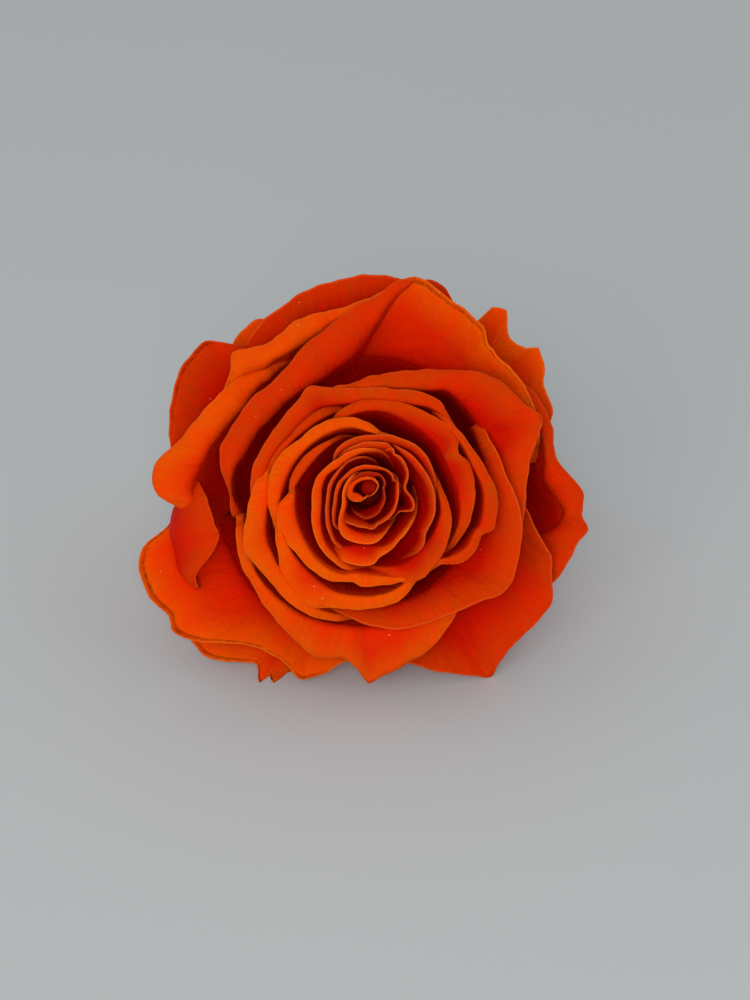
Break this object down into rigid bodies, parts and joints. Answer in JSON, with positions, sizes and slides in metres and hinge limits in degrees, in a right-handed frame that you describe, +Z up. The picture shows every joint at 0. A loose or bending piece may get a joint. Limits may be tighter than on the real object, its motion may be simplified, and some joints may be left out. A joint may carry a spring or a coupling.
{
  "type": "preserved rose head",
  "caption": "Open rose head, preserved, lying on its side: a tight spiral heart inside broad waved petals, with a green hip, sepals and a short cut stem end.",
  "frame": {"origin": "centre of the footprint's bounding box, on the surface that the head lies on", "axes": "+Z up; the open face of the bloom looks along -Y and 30 degrees upwards, the stem end points along +Y and down"},
  "size_m": [0.0602, 0.0562, 0.0525],
  "materials": {
    "petal": "matte velvety preserved petal, deep orange, with a faint sheen",
    "sepal": "matte preserved leaf green with a brownish cut end"
  },
  "bodies": {
    "root": {"bloom": "petal", "calyx": "sepal"}
  },
  "joints": []
}
